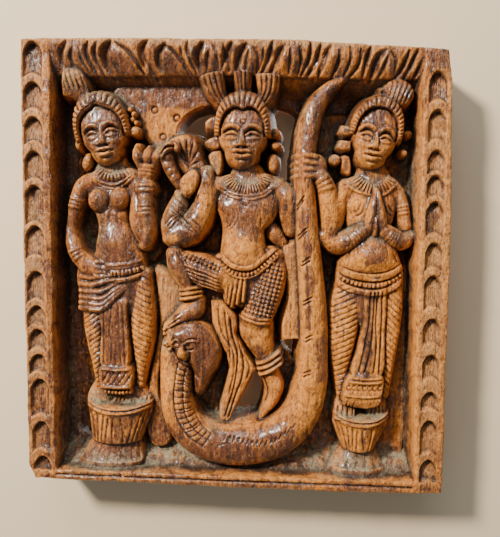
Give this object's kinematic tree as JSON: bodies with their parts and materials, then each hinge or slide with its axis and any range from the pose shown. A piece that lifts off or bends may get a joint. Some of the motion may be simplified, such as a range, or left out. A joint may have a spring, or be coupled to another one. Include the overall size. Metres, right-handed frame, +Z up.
{
  "type": "carved wall panel",
  "caption": "Square wooden wall panel carved in deep relief: a dancer on a hooded serpent between two attendants, inside a scooped and leaf-moulded frame.",
  "frame": {"origin": "centre of the flat back face, which lies in the plane y = 0", "axes": "+X to the right and +Z up as the panel hangs, +Y out of the back towards the wall, the carving towards -Y"},
  "size_m": [0.318, 0.05, 0.334],
  "materials": {
    "varnished_wood": "old brown varnish over vertical-grain wood, worn to orange on the high spots, dusty in the hollows"
  },
  "bodies": {
    "root": {"carved_panel": "varnished_wood"}
  },
  "joints": []
}
